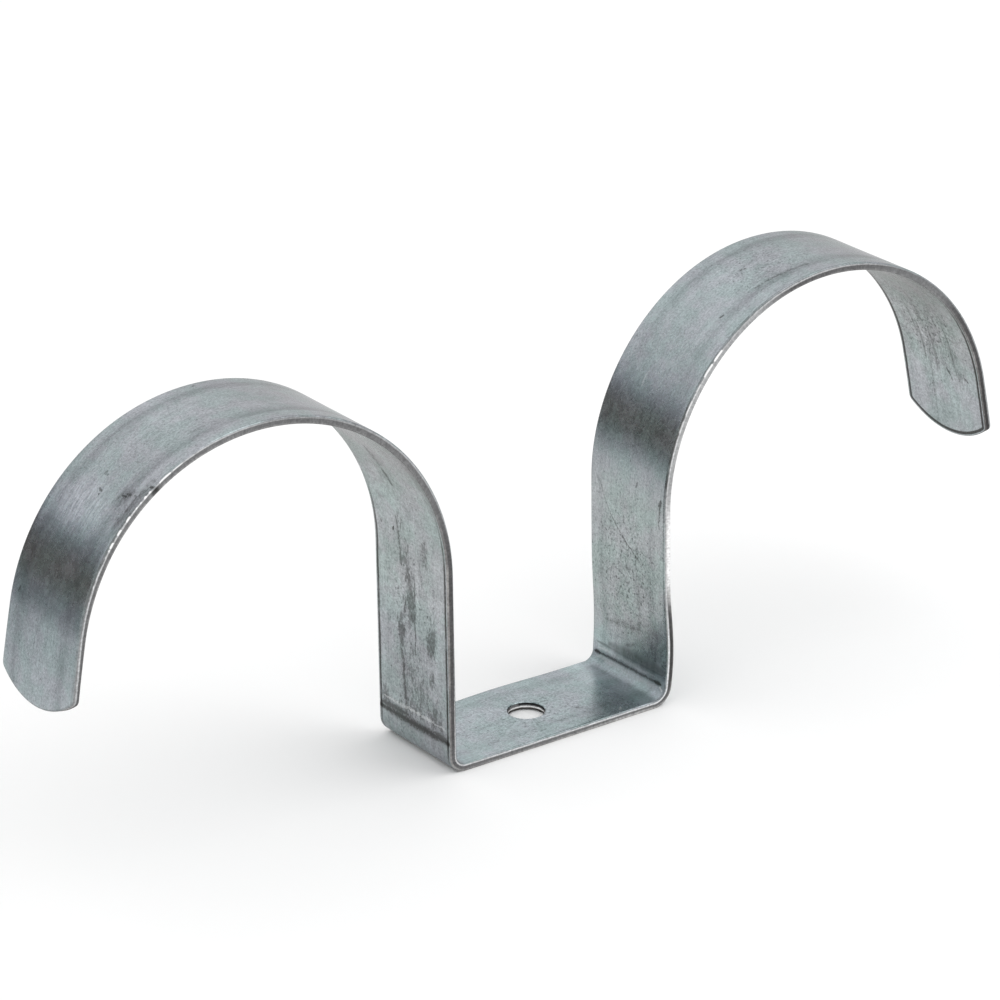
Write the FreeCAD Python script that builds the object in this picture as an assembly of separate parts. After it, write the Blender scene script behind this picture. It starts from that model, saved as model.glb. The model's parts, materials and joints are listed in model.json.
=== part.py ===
import FreeCAD, Part
import math
import os

# Duct floor bracket: one steel strip bent into two saddles for round ducts, with a flat foot between them.
# Millimetres. The origin is on the floor at the centre of the foot, +X runs along the strip towards one saddle,
# +Y across the strip and +Z up. The strip's outer face is the top of the foot, the channel's side of each upright
# and the convex side of each saddle. The shear and the punch went in through that face.

# Ducts
DUCT_DIAMETER = 75.0       # outside of each duct, and so the inside of each saddle
DUCT_FLOOR_GAP = 1.5       # from the floor to the underside of a duct that lies snug in its saddle

# Strip
STRIP_WIDTH = 22.5
STRIP_THICKNESS = 1.5
EDGE_ROLL_OVER = 0.35      # rounding of the outer face's rim, where the shear went in

# Foot
FOOT_LENGTH = 50.0         # over the outsides of the two uprights, which is the gap between the ducts
FOOT_BEND_RADIUS = 2.0     # inside radius of the bend from foot to upright
HOLE_DIAMETER = 7.0        # fixing hole in the middle of the foot
HOLE_ROLL_OVER = 0.25      # rounding of the hole's upper rim, where the punch went in

# Saddle ends
SADDLE_WRAP = 169.5        # degrees that a saddle goes round its duct, from the top of the upright
TIP_LENGTH = 10.0          # straight lead-in beyond the wrap, along the strip's edges
TIP_CROWN = 4.0            # how far the rounded end stands out beyond its two corners
TIP_CORNER_RADIUS = 1.5    # rounding of those corners, seen on the flat of the strip

# Sizes and places that follow from those above
SADDLE_RADIUS = DUCT_DIAMETER / 2
SADDLE_CENTRE = FreeCAD.Vector(FOOT_LENGTH / 2 + SADDLE_RADIUS, 0, DUCT_FLOOR_GAP + SADDLE_RADIUS)
FOOT_BEND_CENTRE = FreeCAD.Vector(
    FOOT_LENGTH / 2 - STRIP_THICKNESS - FOOT_BEND_RADIUS, 0, STRIP_THICKNESS + FOOT_BEND_RADIUS)

# Directions
ALONG = FreeCAD.Vector(1, 0, 0)
ACROSS = FreeCAD.Vector(0, 1, 0)
UP = FreeCAD.Vector(0, 0, 1)

SAME = 1e-6                # two lengths this close are one


def strip_section():
    """The strip cut through at the middle of the foot: a rectangle whose two upper corners are rolled over."""
    half = STRIP_WIDTH / 2
    top = STRIP_THICKNESS
    flank = top - EDGE_ROLL_OVER
    shoulder = half - EDGE_ROLL_OVER
    bulge = EDGE_ROLL_OVER * math.sqrt(0.5)

    def corner(side):
        start = FreeCAD.Vector(0, side * half, flank)
        middle = FreeCAD.Vector(0, side * (shoulder + bulge), flank + bulge)
        end = FreeCAD.Vector(0, side * shoulder, top)
        return Part.Arc(start, middle, end).toShape()

    right, left = corner(1), corner(-1)
    underside = [FreeCAD.Vector(0, -half, 0), FreeCAD.Vector(0, half, 0)]
    edges = [
        Part.makeLine(underside[0], underside[1]),
        Part.makeLine(underside[1], FreeCAD.Vector(0, half, flank)),
        right,
        Part.makeLine(FreeCAD.Vector(0, shoulder, top), FreeCAD.Vector(0, -shoulder, top)),
        left,
        Part.makeLine(FreeCAD.Vector(0, -half, flank), underside[0]),
    ]
    return Part.Face(Part.Wire(Part.__sortEdges__(edges)))


def wrap_end_direction():
    """Direction from the saddle's centre to the place where its wrap ends."""
    angle = math.radians(180 - SADDLE_WRAP)
    return ALONG * math.cos(angle) + UP * math.sin(angle)


def tip():
    """Flat rounded end of the strip, drawn lying down: it runs along +X from the end of the wrap, with its outer
    face on the ground plane. The wrap then turns it round the saddle to its place."""
    half = STRIP_WIDTH / 2
    root = [FreeCAD.Vector(0, side * half, 0) for side in (-1, 1)]
    corner = [FreeCAD.Vector(TIP_LENGTH, side * half, 0) for side in (-1, 1)]
    apex = FreeCAD.Vector(TIP_LENGTH + TIP_CROWN, 0, 0)
    outline = Part.Wire([
        Part.makeLine(root[0], corner[0]),
        Part.Arc(corner[0], apex, corner[1]).toShape(),
        Part.makeLine(corner[1], root[1]),
        Part.makeLine(root[1], root[0]),
    ])
    plate = Part.Face(outline).extrude(UP * -STRIP_THICKNESS)
    corner_edges = [
        edge for edge in plate.Edges
        if abs(edge.CenterOfMass.z + STRIP_THICKNESS / 2) < SAME and edge.CenterOfMass.x > SAME]
    plate = plate.makeFillet(TIP_CORNER_RADIUS, corner_edges)
    outer_rim = [
        edge for edge in plate.Edges
        if abs(edge.CenterOfMass.z) < SAME and edge.CenterOfMass.x > SAME]
    plate = plate.makeFillet(EDGE_ROLL_OVER, outer_rim)
    plate.rotate(FreeCAD.Vector(), ACROSS, SADDLE_WRAP - 90)
    plate.translate(SADDLE_CENTRE + wrap_end_direction() * (SADDLE_RADIUS + STRIP_THICKNESS))
    return plate


def arm():
    """Half of the bracket: the section carried along the foot, round the bend, up the upright and round the
    duct, and then the flat tip."""
    section = strip_section()

    foot_run = ALONG * FOOT_BEND_CENTRE.x
    foot = section.extrude(foot_run)
    section.translate(foot_run)

    foot_bend = section.revolve(FOOT_BEND_CENTRE, ACROSS, -90)
    section.rotate(FOOT_BEND_CENTRE, ACROSS, -90)

    upright_run = UP * (SADDLE_CENTRE.z - FOOT_BEND_CENTRE.z)
    upright = section.extrude(upright_run)
    section.translate(upright_run)

    saddle = section.revolve(SADDLE_CENTRE, ACROSS, SADDLE_WRAP)
    return foot.fuse([foot_bend, upright, saddle, tip()])


def punch_hole(strip):
    """The strip with its fixing hole, which has a rolled-over upper rim."""
    radius = HOLE_DIAMETER / 2
    punched = strip.cut(Part.makeCylinder(radius, STRIP_THICKNESS))
    upper_rim = [
        edge for edge in punched.Edges
        if isinstance(edge.Curve, Part.Circle) and abs(edge.Curve.Radius - radius) < SAME
        and abs(edge.Curve.Center.z - STRIP_THICKNESS) < SAME]
    return punched.makeFillet(HOLE_ROLL_OVER, upper_rim)


def bracket_strip():
    """The whole bracket: two arms that mirror each other, joined through the foot."""
    right = arm()
    left = right.mirror(FreeCAD.Vector(), ALONG)
    return punch_hole(right.fuse(left).removeSplitter())


os.makedirs("parts", exist_ok=True)
strip = bracket_strip()
strip.exportStep("parts/bracket_strip.step")
print("bracket_strip:", len(strip.Solids), "solid, valid", strip.isValid(), "volume", round(strip.Volume, 1))
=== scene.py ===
"""Duct floor bracket: a galvanised strip bent into a foot, two uprights and two round saddles.

The strip is worked out flat, as the blank that is slit and punched, and then bent to shape.
A place on the blank is (along, across, depth) in millimetres: along from the middle of the foot,
positive to the right; across positive to the back; depth down from the outer face, which is the
foot's upper side and the saddles' crowns.  Marks, rolling lines and edges are all given there.
"""
import json

import bpy
import numpy as np
from mathutils import Matrix, Vector


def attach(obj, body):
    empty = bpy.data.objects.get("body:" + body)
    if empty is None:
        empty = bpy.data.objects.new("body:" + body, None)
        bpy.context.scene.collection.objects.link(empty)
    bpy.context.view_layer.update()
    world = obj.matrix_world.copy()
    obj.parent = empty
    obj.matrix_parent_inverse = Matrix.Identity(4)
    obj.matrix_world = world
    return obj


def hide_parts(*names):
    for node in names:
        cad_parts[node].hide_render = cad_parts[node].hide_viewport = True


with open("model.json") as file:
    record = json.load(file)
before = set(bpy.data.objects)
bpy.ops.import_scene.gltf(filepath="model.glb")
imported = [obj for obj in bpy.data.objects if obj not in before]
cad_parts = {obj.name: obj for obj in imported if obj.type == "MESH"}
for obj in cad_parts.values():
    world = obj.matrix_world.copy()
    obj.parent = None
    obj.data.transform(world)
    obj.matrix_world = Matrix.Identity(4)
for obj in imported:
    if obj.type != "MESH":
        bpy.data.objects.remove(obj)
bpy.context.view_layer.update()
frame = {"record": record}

MM = 0.001

# Sizes that the frame gives
mounts = {mount["name"]: mount for mount in frame["record"]["mounts"]}
DUCT_RADIUS = mounts["right_saddle"]["dims"]["r_mm"]
STRIP_WIDTH = mounts["right_saddle"]["dims"]["length_mm"]
SADDLE_X, _, SADDLE_Z = (value / MM for value in mounts["right_saddle"]["pos_m"])
HOLE_RADIUS = mounts["fixing_hole"]["dims"]["r_mm"]

# Sizes of the strip and its bends
STRIP_THICKNESS = 1.5
FOOT_BEND_RADIUS = 2.0
SADDLE_WRAP = np.radians(169.5)
TIP_LENGTH = 10.0
TIP_CROWN = 4.0
TIP_CORNER_RADIUS = 1.5
HALF_WIDTH = STRIP_WIDTH / 2
MIDDLE = STRIP_THICKNESS / 2
BEND_RADIUS_MIDDLE = FOOT_BEND_RADIUS + MIDDLE
SADDLE_RADIUS_MIDDLE = DUCT_RADIUS + MIDDLE

# Where each stretch starts, along the middle of the strip's thickness
BEND_START = SADDLE_X - DUCT_RADIUS - STRIP_THICKNESS - FOOT_BEND_RADIUS
UPRIGHT_START = BEND_START + BEND_RADIUS_MIDDLE * np.pi / 2
SADDLE_START = UPRIGHT_START + SADDLE_Z - STRIP_THICKNESS - FOOT_BEND_RADIUS
TIP_START = SADDLE_START + SADDLE_RADIUS_MIDDLE * SADDLE_WRAP
TIP_CORNER = TIP_START + TIP_LENGTH
TIP_APEX = TIP_CORNER + TIP_CROWN

# Arcs of the right tip: the crown, and a corner that touches the long side and the inside of the crown
CROWN_RADIUS = (HALF_WIDTH ** 2 + TIP_CROWN ** 2) / (2 * TIP_CROWN)
CROWN_MIDDLE = np.array([TIP_APEX - CROWN_RADIUS, 0.0])
CORNER_ACROSS = HALF_WIDTH - TIP_CORNER_RADIUS
CORNER_ALONG = np.sqrt((CROWN_RADIUS - TIP_CORNER_RADIUS) ** 2 - CORNER_ACROSS ** 2)
CORNER_MIDDLE = CROWN_MIDDLE + (CORNER_ALONG, CORNER_ACROSS)

# The sheared edges, by depth from the outer face: rolled over, burnished, torn, smoothed again
EDGE_ROLL_OVER = 0.35
EDGE_TEAR_START = 0.50
EDGE_TEAR_END = 1.20
EDGE_TEAR_SETBACK = 0.06
HOLE_ROLL_OVER = 0.25
HOLE_TEAR_START = 1.04
HOLE_TEAR_END = 1.34
HOLE_TEAR_SETBACK = 0.10
TEAR_SHOULDER = 0.15        # share of the torn stretch over which it does most of its setting back
SHOULDER_SETBACK = 0.8      # share of the setback that it has there
ROLLED_ZINC = 0.8           # share of a roll-over's depth that keeps the outer face's finish
BURR_ROUND = 0.12
EDGE_MARGIN = 1.15          # breadth of each broad face that belongs to the edge's grid

# How far bending leaves the strip from its plain form
SWELL = 0.58                # of the right upright, away from the channel
SWELL_LEAN = 0.18           # more of it at the front, and less at the back
SWELL_START = 22.5
SWELL_END = 48.0
SWELL_LOW = 0.8             # power that puts its middle below half-way
TIP_BULGE = 0.075
TWIST = 0.50                # of the left tip's front corner, inwards
TWIST_START = -156.0
TIP_SKEW = 0.034            # share by which the left tip's back edge is longer
BOW = 0.30                  # of the foot's back, upwards
BOW_REACH = 16.0
BEND_DRAW_IN = 0.12         # of the inner face's sides, at the foot's bends

# Ripple beyond the bends: height, waves as (radians a millimetre along, the same across, start), and the
# length over which it comes in
RIPPLE = 0.012
RIPPLE_WAVES = ((0.21, 0.35, 0.0), (0.13, -0.5, 1.3))
RIPPLE_RISE = 20.0

# Waves of the saddles, as (middle along the strip, reach to either side, height outwards)
SADDLE_WAVES = ((-145.0, 28.0, 0.21), (84.0, 30.0, -0.22))

# Grid of the mesh
CELL = 0.75                 # length of a cell along the foot, the uprights and the saddles
ROWS = 30                   # cells across the strip
BLOCK_CELLS = 7             # from the hole's middle to a side of the block round it
BLOCK_HALF = 5.1            # the length of those cells, along the strip
BEND_CELLS = 16             # along a foot bend
CORNER_CELLS = 2            # round each half of a tip's corner
TIP_CELLS = 14              # along a tip, up to its corner
HOLE_RINGS = 6              # from the block to the hole's margin
ROUND_CELLS = 5             # over a quarter round
SHARP_ANGLE = np.radians(50)

# The flat pattern that the finish is drawn on: rows of strip, one above the other, in millimetres
PATTERN_ROW = 128.0
PATTERN_GAP = 1.0
PATTERN_SIZE = 180.0
OUTER_ROWS = 0
INNER_ROWS = 3
EDGE_ROWS = 6
HOLE_ROWS = 13
EDGE_ROW_HEIGHT = 4.3       # of the rows of the edge and of the hole's wall

# Finishes, by their place in the strip's list of materials
OUTER, INNER, EDGE, WALL = range(4)


# The strip's shape

def bend_strip(blank):
    """Places on the blank, bent to shape, in metres.

    The heading of the strip's middle line is 0 on the foot, turns up by a quarter at the bend,
    stays up on the upright, turns back down round the saddle and is straight on the tip.  Each
    stretch adds its own length to x and z, and a point then stands off along the line's normal by
    half the thickness less its depth.  The left arm is the right one mirrored in x, with its tip
    drawn out towards the back.
    """
    along, across, depth = np.moveaxis(blank, -1, 0)
    run = np.abs(along)
    side = np.where(along < 0, -1.0, 1.0)
    turn = np.clip((run - BEND_START) / BEND_RADIUS_MIDDLE, 0, np.pi / 2)
    wrap = np.clip((run - SADDLE_START) / SADDLE_RADIUS_MIDDLE, 0, SADDLE_WRAP)
    rise = np.clip(run - UPRIGHT_START, 0, SADDLE_START - UPRIGHT_START)
    skew = np.where(along < 0, TIP_SKEW * back_share(across), 0)
    tip = np.maximum(run - TIP_START, 0) * (1 + skew)
    heading = turn - wrap
    x = np.minimum(run, BEND_START) + BEND_RADIUS_MIDDLE * np.sin(turn)
    x = x + SADDLE_RADIUS_MIDDLE * (1 - np.cos(wrap)) + tip * np.cos(heading)
    z = MIDDLE + BEND_RADIUS_MIDDLE * (1 - np.cos(turn)) + rise
    z = z + SADDLE_RADIUS_MIDDLE * np.sin(wrap) + tip * np.sin(heading)
    off = MIDDLE - depth + stray(along, across)
    drawn = across * (1 - bend_share(run) * depth / STRIP_THICKNESS * BEND_DRAW_IN / HALF_WIDTH)
    return MM * np.stack([side * (x - off * np.sin(heading)), drawn, z + off * np.cos(heading)], -1)


def back_share(across):
    """0 at the strip's front edge, growing evenly to 1 at its back edge."""
    return (1 + across / HALF_WIDTH) / 2


def bend_share(run):
    """1 in the middle of a foot bend, falling as a square to 0 a bend's length away on either side."""
    length = UPRIGHT_START - BEND_START
    gap = np.abs(run - (BEND_START + UPRIGHT_START) / 2) / length
    return np.clip(1 - gap, 0, 1) ** 2


def half_wave(along, middle, reach):
    """1 at the middle, falling to 0 at the reach on either side as a squared cosine."""
    return np.cos(np.pi / 2 * np.clip(np.abs(along - middle) / reach, 0, 1)) ** 2


def stray(along, across):
    """How far the strip stands off its plain form, outwards.

    Each tip bulges as a parabola, each saddle has a half wave, and the foot's back bows up at the hole
    as a half wave.  Above its bend the right upright swells inwards as a squared sine, more so towards
    the front, and the front of the left tip is twisted inwards evenly.  Beyond the bends the strip has
    a shallow ripple of two crossed waves.
    """
    tip = np.clip((np.abs(along) - TIP_START) / (TIP_APEX - TIP_START), 0, 1)
    bulge = TIP_BULGE * 4 * tip * (1 - tip)
    waves = sum(height * half_wave(along, middle, reach) for middle, reach, height in SADDLE_WAVES)
    bow = BOW * half_wave(along, 0, BOW_REACH) * back_share(across)
    raised = np.clip((along - SWELL_START) / (SWELL_END - SWELL_START), 0, 1)
    swell = (SWELL - SWELL_LEAN * across / HALF_WIDTH) * np.sin(np.pi * raised ** SWELL_LOW) ** 2
    turned = np.clip((TWIST_START - along) / (TWIST_START + TIP_APEX), 0, 1)
    twist = TWIST * turned * back_share(-across)
    ripple = sum(np.sin(a * along + b * across + start) for a, b, start in RIPPLE_WAVES)
    beyond = np.clip((np.abs(along) - UPRIGHT_START) / RIPPLE_RISE, 0, 1)
    return bulge + waves + bow - swell - twist + RIPPLE / 2 * ripple * beyond


def stations():
    """Places along the right half of a long side, from the foot's middle to the tip's corner."""
    runs = (
        (0, BLOCK_HALF, BLOCK_CELLS),
        (BLOCK_HALF, BEND_START, round((BEND_START - BLOCK_HALF) / CELL)),
        (BEND_START, UPRIGHT_START, BEND_CELLS),
        (UPRIGHT_START, SADDLE_START, round((SADDLE_START - UPRIGHT_START) / CELL)),
        (SADDLE_START, TIP_START, round((TIP_START - SADDLE_START) / CELL)),
        (TIP_START, CORNER_MIDDLE[0], TIP_CELLS),
    )
    ends = [np.linspace(start, end, cells + 1)[1:] for start, end, cells in runs]
    return np.concatenate([[0.0], *ends])


def outline(inset):
    """The blank's outline, set in evenly: the back long side from left to right, and the right end
    from front to back.

    A long side is straight and ends half-way round each corner arc.  The end takes the other
    halves and the crown's arc between them.  Every point lies on its arc's radius, less the inset.
    """
    lean = np.arctan2(*(CORNER_MIDDLE - CROWN_MIDDLE)[::-1])
    half_way = (np.pi / 2 + lean) / 2

    def arc(middle, radius, angles):
        return middle + (radius - inset) * np.stack([np.cos(angles), np.sin(angles)], -1)

    straight = np.stack([stations(), np.full_like(stations(), HALF_WIDTH - inset)], -1)
    to_half = np.linspace(np.pi / 2, half_way, CORNER_CELLS + 1)[1:]
    right = np.concatenate([straight, arc(CORNER_MIDDLE, TIP_CORNER_RADIUS, to_half)])
    back = np.concatenate([right[:0:-1] * (-1, 1), right])

    from_half = np.linspace(half_way, lean, CORNER_CELLS + 1)[:-1]
    crown = np.linspace(-lean, lean, ROWS - 2 * CORNER_CELLS + 1)
    back_corner = arc(CORNER_MIDDLE, TIP_CORNER_RADIUS, from_half)
    front_corner = back_corner * (1, -1)
    end = np.concatenate([front_corner, arc(CROWN_MIDDLE, CROWN_RADIUS, crown), back_corner[::-1]])
    return back, end


def face_grid(inset, depth):
    """A broad face of the blank, set in from the outline, as a grid of (along, across, depth, inset).

    Lines across are straight from the front side to the back side.  Within the tips they lean over
    to the end's curve, by a share that grows evenly from 0 at the tip's start to 1 at its end.
    """
    back, end = outline(inset)
    share = np.linspace(0, 1, ROWS + 1)[None, :, None]
    front = back * (1, -1)
    plain = front[:, None] * (1 - share) + back[:, None] * share
    leaning = np.zeros(len(back))
    leaning[-TIP_CELLS - CORNER_CELLS - 1:] = np.linspace(0, 1, TIP_CELLS + CORNER_CELLS + 1)
    to_end = end - plain[-1]
    grid = plain + leaning[:, None, None] * to_end + leaning[::-1, None, None] * to_end * (-1, 1)
    return with_columns(grid, depth, inset)


def with_columns(points, *values):
    """Points with further columns, each of one value."""
    columns = np.broadcast_to(values, (*points.shape[:-1], len(values)))
    return np.concatenate([points, columns], -1)


def loop_round(grid):
    """The grid's border as one loop: front side, right end, back side, left end."""
    return np.concatenate([grid[:-1, 0], grid[-1, :-1], grid[:0:-1, -1], grid[0, :0:-1]])


def block_loop(grid):
    """The border of the block of cells round the hole, as one loop."""
    low = (np.array(grid.shape[:2]) - 1) // 2 - BLOCK_CELLS
    high = low + 2 * BLOCK_CELLS + 1
    return loop_round(grid[low[0]:high[0], low[1]:high[1]])


def closed(loop):
    """A loop with its first place again at its end."""
    return np.concatenate([loop, loop[:1]])


def outwards(loop):
    """Directions on the blank from the hole's middle to each place of a loop."""
    return loop[:, :2] / np.linalg.norm(loop[:, :2], axis=-1, keepdims=True)


def rings_to_circle(block, radius):
    """Evenly spaced rings from a block's border to a circle round the hole: each place moves straight
    towards the hole's middle."""
    shares = np.linspace(0, 1, HOLE_RINGS + 1)[1:, None, None]
    circle = np.concatenate([radius * outwards(block), block[:, 2:]], -1)
    return block + shares * (circle - block)


def edge_profile(roll_over, tear_start, tear_end, setback):
    """(inset, depth) over a sheared edge: a margin of the outer face, a quarter round, a straight
    burnish, a torn stretch that is set back, a small quarter round and a margin of the inner face."""
    quarter = np.linspace(0, np.pi / 2, ROUND_CELLS + 1)
    rolled = roll_over * np.stack([1 - np.sin(quarter), 1 - np.cos(quarter)], -1)
    rounded = BURR_ROUND * np.stack([1 - np.cos(quarter), np.sin(quarter) - 1], -1)
    shoulder = TEAR_SHOULDER * (tear_end - tear_start)
    torn = [
        (0, tear_start),
        (SHOULDER_SETBACK * setback, tear_start + shoulder),
        (setback, (tear_start + tear_end) / 2),
        (SHOULDER_SETBACK * setback, tear_end - shoulder),
        (0, tear_end),
    ]
    half_margin = (BURR_ROUND + EDGE_MARGIN) / 2
    inner = [(half_margin, STRIP_THICKNESS), (EDGE_MARGIN, STRIP_THICKNESS)]
    return np.concatenate([[(EDGE_MARGIN, 0)], rolled, torn, rounded + (0, STRIP_THICKNESS), inner])


def row_finishes(profile, roll_over, cut):
    """The finish of each row of an edge profile: outer on the margin and most of the rolled-over corner,
    inner on the other margin, and the cut's own finish between them."""
    middle = (profile[1:, 1] + profile[:-1, 1]) / 2
    below = np.where(middle < STRIP_THICKNESS, cut, INNER)
    return np.where(middle < ROLLED_ZINC * roll_over, OUTER, below)


def running_length(points):
    """Distance along a row of points from its first one."""
    steps = np.linalg.norm(np.diff(points, axis=0), axis=-1)
    return np.concatenate([[0.0], np.cumsum(steps)])


def on_pattern(points, first_row):
    """Places of a broad face on the flat pattern, as one long strip: x along, y across, and the first of
    its rows.  The strip is cut into rows later, quad by quad."""
    return with_columns(points[..., :2] + (TIP_APEX, HALF_WIDTH), first_row)


def cut_on_pattern(round_it, down, first_row):
    """Places of a cut on the flat pattern, as one long strip: x round it, y down it, and its first row."""
    return with_columns(np.stack(np.meshgrid(round_it, down, indexing="ij"), -1), first_row)


def cut_into_rows(flats):
    """Positions of all quads' corners on the pattern, from 0 to 1: a quad goes to the row that its
    middle lies in, and rows are stacked upwards by their own height."""
    x, y, first = np.moveaxis(flats, -1, 0)
    row = np.floor(x.mean(1, keepdims=True) / PATTERN_ROW)
    broad = (first + row) * (STRIP_WIDTH + PATTERN_GAP)
    narrow = EDGE_ROWS * (STRIP_WIDTH + PATTERN_GAP) + (first - EDGE_ROWS + row) * EDGE_ROW_HEIGHT
    u = x - row * PATTERN_ROW + PATTERN_GAP
    v = y + np.where(first < EDGE_ROWS, broad, narrow) + PATTERN_GAP
    return np.stack([u, v], -1) / PATTERN_SIZE


class Skin:
    """A skin as it is put together: places on the blank as (along, across, depth, inset), and quads
    between them with where each corner lies on the flat pattern, and their finishes."""

    def __init__(self):
        self.places = []
        self.quads = []
        self.flats = []
        self.finishes = []

    def add(self, points):
        """Adds places and gives their numbers in the same arrangement."""
        first = sum(len(block) for block in self.places)
        self.places.append(points.reshape(-1, 4))
        return first + np.arange(points[..., 0].size).reshape(points.shape[:-1])

    def sheet(self, numbers, flat, finish, keep=True):
        """Adds the quads between the rows and columns of a grid of numbers, with the grid's flat places
        and one finish or one for each row.  Only the quads to keep are added."""
        def corners(grid):
            return np.stack([grid[:-1, :-1], grid[1:, :-1], grid[1:, 1:], grid[:-1, 1:]], 2)

        kept = np.broadcast_to(keep, np.array(numbers.shape) - 1)
        self.quads.append(corners(numbers)[kept])
        self.flats.append(corners(flat)[kept])
        self.finishes.append(np.broadcast_to(finish, kept.shape)[kept])

    def joined(self):
        """The places that quads use, the quads by number, their flat places and their finishes."""
        used, faces = np.unique(np.concatenate(self.quads), return_inverse=True)
        places = np.concatenate(self.places)[used]
        return places, faces.reshape(-1, 4), np.concatenate(self.flats), np.concatenate(self.finishes)


def add_faces(skin, grids, numbers):
    """The two broad faces, less the block of cells round the hole.  The inner one is turned over."""
    columns, rows = np.array(numbers[0].shape) - 1
    near_column = np.abs(np.arange(columns) + 0.5 - columns / 2) < BLOCK_CELLS
    near_row = np.abs(np.arange(rows) + 0.5 - rows / 2) < BLOCK_CELLS
    keep = ~(near_column[:, None] & near_row[None])
    outer, inner = grids
    skin.sheet(numbers[0], on_pattern(outer, OUTER_ROWS), OUTER, keep)
    skin.sheet(numbers[1][:, ::-1], on_pattern(inner[:, ::-1], INNER_ROWS), INNER, keep)


def add_edge(skin, grids, numbers):
    """The edge profile carried all round the outline, from the inner face to the outer one."""
    profile = edge_profile(EDGE_ROLL_OVER, EDGE_TEAR_START, EDGE_TEAR_END, EDGE_TEAR_SETBACK)
    rings = np.array([loop_round(face_grid(inset, depth)) for inset, depth in profile[1:-1]])
    outer_loop, inner_loop = (loop_round(grid)[None] for grid in numbers)
    ring_numbers = closed(np.concatenate([outer_loop, skin.add(rings), inner_loop]).T)
    flat = cut_on_pattern(running_length(closed(loop_round(grids[0]))), running_length(profile), EDGE_ROWS)
    finish = row_finishes(profile, EDGE_ROLL_OVER, EDGE)
    skin.sheet(ring_numbers[:, ::-1], flat[:, ::-1], finish[None, ::-1])


def add_hole(skin, grids, numbers):
    """Rings from the outer face's block into the hole, down its wall and out to the inner face's block."""
    profile = edge_profile(HOLE_ROLL_OVER, HOLE_TEAR_START, HOLE_TEAR_END, HOLE_TEAR_SETBACK)
    outer_block, inner_block = (block_loop(grid) for grid in grids)
    upper = rings_to_circle(outer_block, HOLE_RADIUS + EDGE_MARGIN)
    lower = rings_to_circle(inner_block, HOLE_RADIUS + EDGE_MARGIN)[::-1]
    way = outwards(upper[-1])
    wall = np.stack([
        with_columns((HOLE_RADIUS + inset) * way, depth, inset) for inset, depth in profile[1:-1]
    ])
    rings = np.concatenate([upper, wall, lower])
    outer_loop, inner_loop = (block_loop(grid)[None] for grid in numbers)
    ring_numbers = closed(np.concatenate([outer_loop, skin.add(rings), inner_loop]).T)
    places = closed(np.concatenate([outer_block[None], rings, inner_block[None]]).swapaxes(0, 1))

    finish = row_finishes(profile, HOLE_ROLL_OVER, WALL)
    wall_start = np.count_nonzero(finish == OUTER)
    wall_end = wall_start + np.count_nonzero(finish == WALL)
    around = HOLE_RADIUS * np.linspace(0, 2 * np.pi, len(places))
    down = running_length(profile)[wall_start:wall_end + 1]
    above = slice(0, HOLE_RINGS + wall_start + 1)
    within = slice(HOLE_RINGS + wall_start, HOLE_RINGS + wall_end + 1)
    below = slice(HOLE_RINGS + wall_end, None)
    skin.sheet(ring_numbers[:, above], on_pattern(places[:, above], OUTER_ROWS), OUTER)
    skin.sheet(ring_numbers[:, within], cut_on_pattern(around, down, HOLE_ROWS), WALL)
    skin.sheet(ring_numbers[:, below], on_pattern(places[:, below], INNER_ROWS), INNER)


def strip_mesh():
    """The whole strip as one closed skin: two broad faces with a block left out round the hole, the
    edge round the outline, and the hole."""
    skin = Skin()
    grids = [face_grid(EDGE_MARGIN, depth) for depth in (0.0, STRIP_THICKNESS)]
    numbers = [skin.add(grid) for grid in grids]
    add_faces(skin, grids, numbers)
    add_edge(skin, grids, numbers)
    add_hole(skin, grids, numbers)
    return skin.joined()


# Colours of the metal and of what lies on it
ZINC_GREEN = (0.379, 0.439, 0.449, 1)
ZINC_VIOLET = (0.419, 0.439, 0.471, 1)
ZINC_EDGE_TINT = (0.68, 0.665, 0.66, 1)
WARM_CAST = (1.0, 1.0, 0.955, 1)
GREEN_CAST = (0.945, 1.0, 1.0, 1)
# Dark tint of scuffs, stains, blots and tool lines, also used for painted shade
SCUFF_AND_SHADE_TINT = (0.20, 0.19, 0.18, 1)
BAND_TINT = (0.30, 0.30, 0.31, 1)
# Colour of bright rubs and of painted highlights
RUB_AND_HIGHLIGHT_ZINC = (0.80, 0.82, 0.83, 1)
# White of the nicks, a painted glint
NICK_GLINT_WHITE = (0.97, 0.97, 0.97, 1)
CUT_ZINC = (0.36, 0.37, 0.38, 1)
BURNISHED_STEEL = (0.76, 0.77, 0.78, 1)
# Near white of a stretch of the edge: a painted highlight
HIGHLIGHT_STEEL = (0.93, 0.93, 0.93, 1)
TORN_STEEL = (0.10, 0.098, 0.10, 1)
BORDER_STEEL = (0.40, 0.392, 0.386, 1)
HOLE_BURNISH = (0.97, 0.97, 0.97, 1)
HOLE_TORN = (0.075, 0.070, 0.065, 1)
# Black of the painted shadow under the hole's rim, and of the pocks
HOLE_SHADOW_AND_POCKS = (0.012, 0.012, 0.012, 1)

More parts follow.
